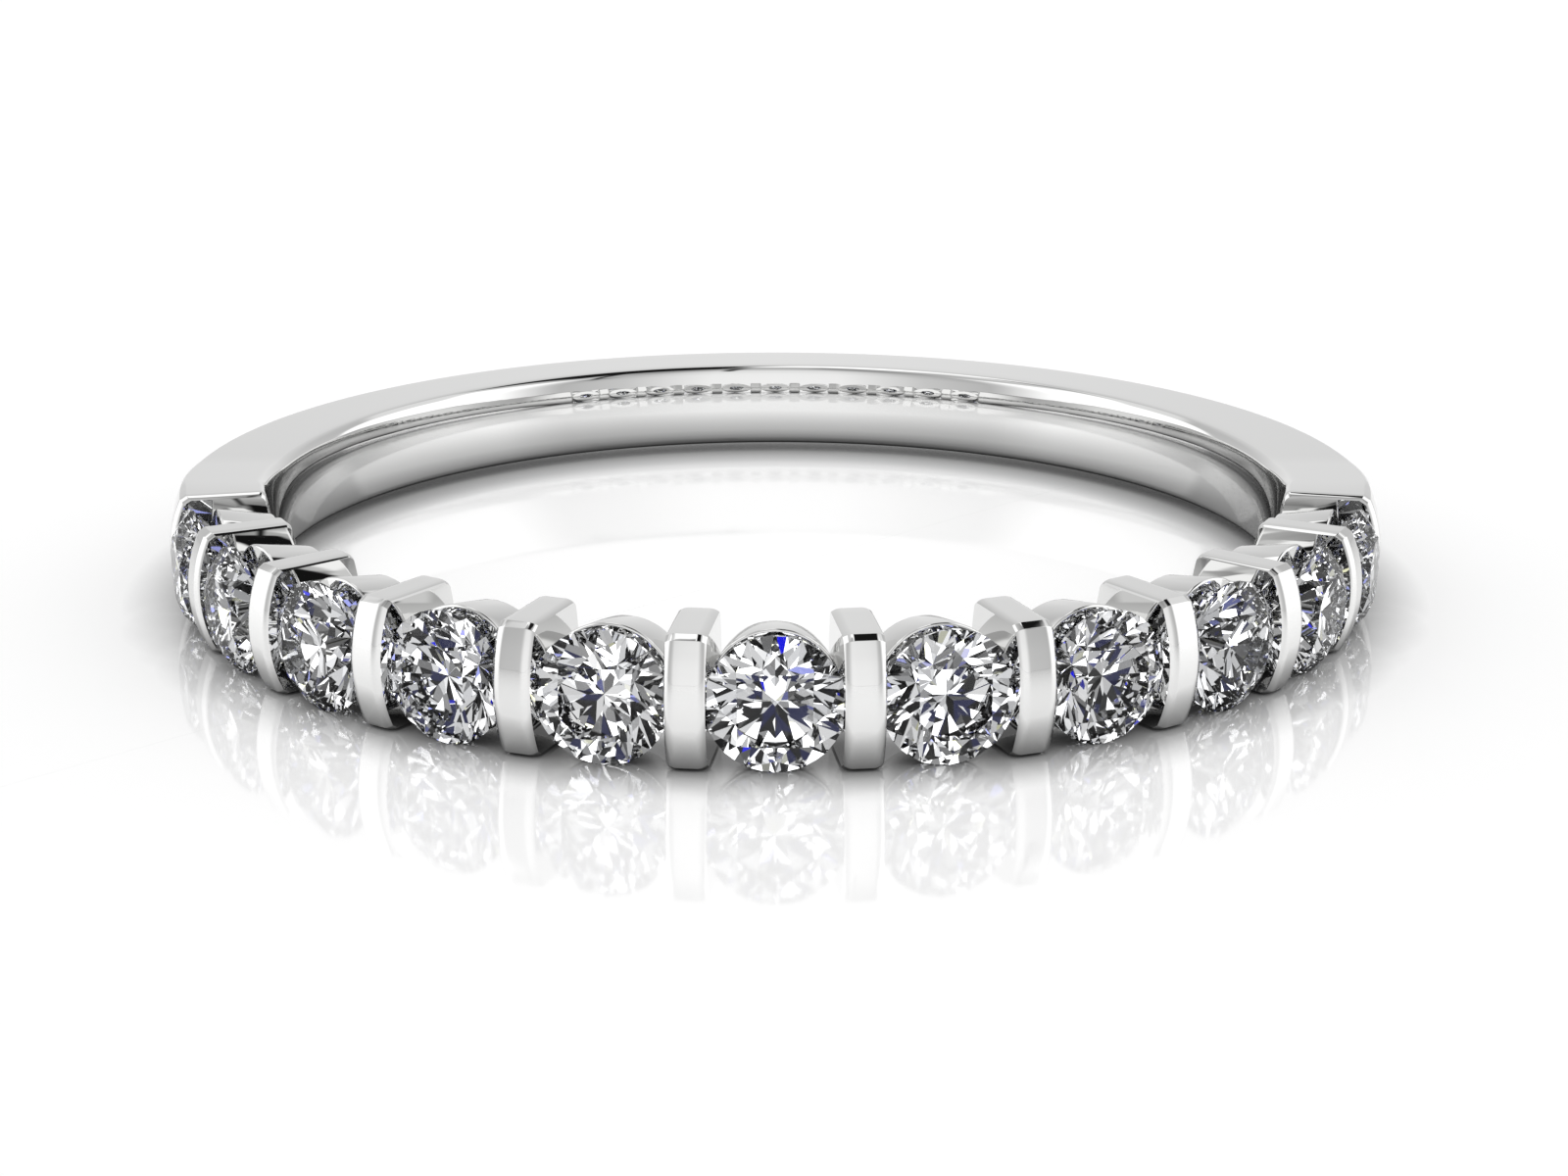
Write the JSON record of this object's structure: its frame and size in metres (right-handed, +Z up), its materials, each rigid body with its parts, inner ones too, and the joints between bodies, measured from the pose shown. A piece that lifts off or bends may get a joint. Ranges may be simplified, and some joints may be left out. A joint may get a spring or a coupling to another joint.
{
  "type": "half eternity ring",
  "caption": "Finger ring: a polished white metal band whose front half carries a row of round brilliant-cut stones, held between shared upright bars and over cone-shaped cups.",
  "frame": {"origin": "on the finger's axis, at the level of the floor that the ring lies on", "axes": "+Z up, along the finger's axis; the middle stone faces -Y and +X is to its right"},
  "size_m": [0.0208, 0.0208, 0.002],
  "materials": {
    "white_metal": "mirror polish, with fine polishing marks",
    "stone": "faceted and polished, clear and colourless, with coloured fire"
  },
  "bodies": {
    "root": {"band": "white_metal", "stone_01": "stone", "stone_02": "stone", "stone_03": "stone", "stone_04": "stone", "stone_05": "stone", "stone_06": "stone", "stone_07": "stone", "stone_08": "stone", "stone_09": "stone", "stone_10": "stone", "stone_11": "stone"}
  },
  "joints": []
}
